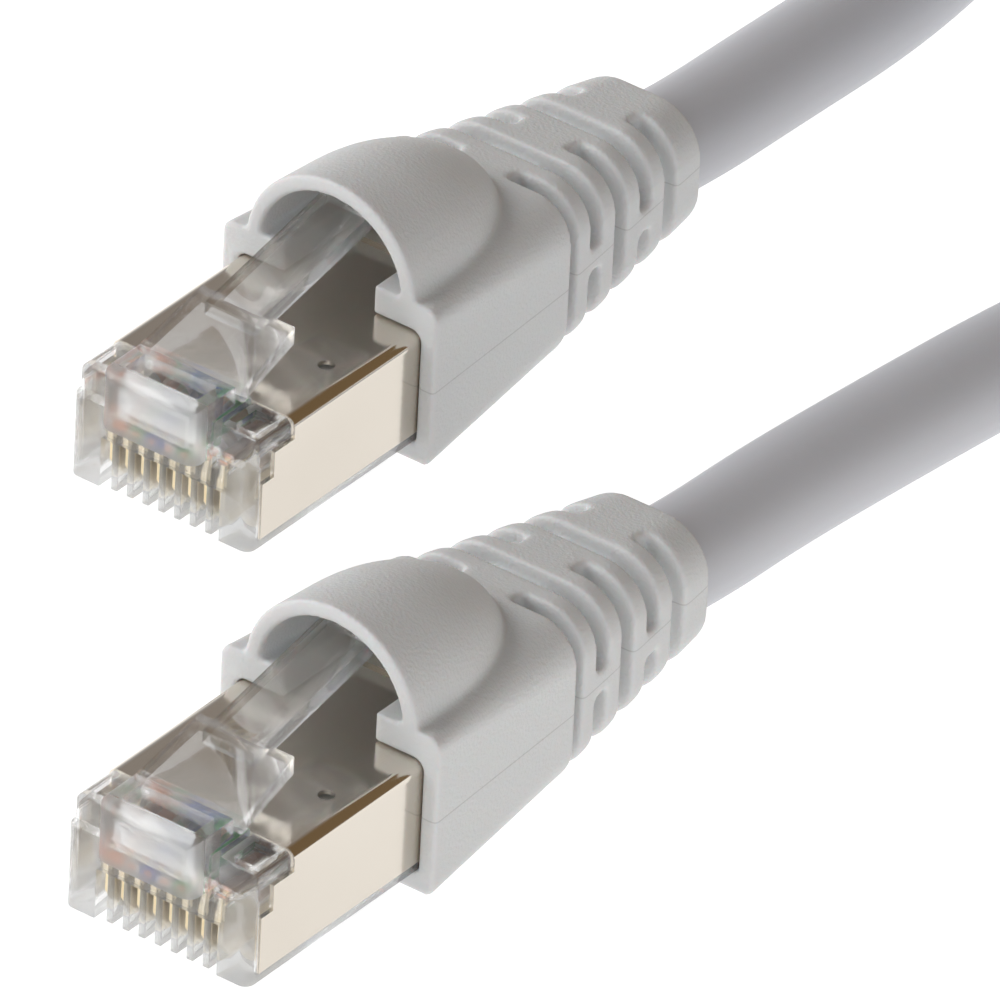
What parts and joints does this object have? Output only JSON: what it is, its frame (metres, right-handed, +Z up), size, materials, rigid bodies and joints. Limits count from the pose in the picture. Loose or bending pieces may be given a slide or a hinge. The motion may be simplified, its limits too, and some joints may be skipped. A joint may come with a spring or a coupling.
{
  "type": "ethernet patch cable",
  "caption": "Shielded network patch cable with a clear latching plug, metal shield and ribbed snagless boot on each end of one round grey cable.",
  "frame": {"origin": "on the surface that the boots stand on, under the middle of the two plugs' common box", "axes": "+Z up from the surface; +Y along both plugs from the noses towards the cable; +X across the plugs, from plug A to plug B"},
  "size_m": [0.0573, 0.1937, 0.0146],
  "materials": {
    "boot_plastic": "soft moulded, fine texture",
    "clear_plastic": "clear polycarbonate, frosted nose",
    "nickel_plate": "bright nickel plate",
    "gold_plate": "gold plated",
    "milky_plastic": "natural",
    "copper": "bare copper",
    "foil": "bright foil",
    "tinned_braid": "tinned braid",
    "jacket_plastic": "smooth satin",
    "tie_strap": "woven hook and loop",
    "insulation_white_orange": "solid colour",
    "insulation_orange": "solid colour",
    "insulation_white_green": "solid colour",
    "insulation_blue": "solid colour",
    "insulation_white_blue": "solid colour",
    "insulation_green": "solid colour",
    "insulation_white_brown": "solid colour",
    "insulation_brown": "solid colour"
  },
  "bodies": {
    "plug_pair": {"boot_a": "boot_plastic", "housing_a": "clear_plastic", "shield_a": "nickel_plate", "contacts_a": "gold_plate", "load_bar_a": "milky_plastic", "wire_cores_a": "copper", "foil_wrap_a": "foil", "braid_a": "tinned_braid", "jacket_end_a": "jacket_plastic", "wire_1_a": "insulation_white_orange", "wire_2_a": "insulation_orange", "wire_3_a": "insulation_white_green", "wire_4_a": "insulation_blue", "wire_5_a": "insulation_white_blue", "wire_6_a": "insulation_green", "wire_7_a": "insulation_white_brown", "wire_8_a": "insulation_brown", "boot_b": "boot_plastic", "housing_b": "clear_plastic", "shield_b": "nickel_plate", "contacts_b": "gold_plate", "load_bar_b": "milky_plastic", "wire_cores_b": "copper", "foil_wrap_b": "foil", "braid_b": "tinned_braid", "jacket_end_b": "jacket_plastic", "wire_1_b": "insulation_white_orange", "wire_2_b": "insulation_orange", "wire_3_b": "insulation_white_green", "wire_4_b": "insulation_blue", "wire_5_b": "insulation_white_blue", "wire_6_b": "insulation_green", "wire_7_b": "insulation_white_brown", "wire_8_b": "insulation_brown", "cable_a": "jacket_plastic", "cable_b": "jacket_plastic", "cable_hank": "jacket_plastic", "tie_left": "tie_strap", "tie_right": "tie_strap"},
    "latch_a": {"latch_a": "clear_plastic"},
    "latch_b": {"latch_b": "clear_plastic"}
  },
  "joints": [
    {"name": "latch_a_press", "type": "hinge", "parent": "plug_pair", "child": "latch_a", "pos_m": [-0.01195, -0.00144, 0.0087], "axis": [1, 0, 0], "range_deg": [-12, 0], "stiffness_Nm_per_rad": 0.15},
    {"name": "latch_b_press", "type": "hinge", "parent": "plug_pair", "child": "latch_b", "pos_m": [0.01195, -0.03264, 0.0087], "axis": [1, 0, 0], "range_deg": [-12, 0], "stiffness_Nm_per_rad": 0.15}
  ]
}
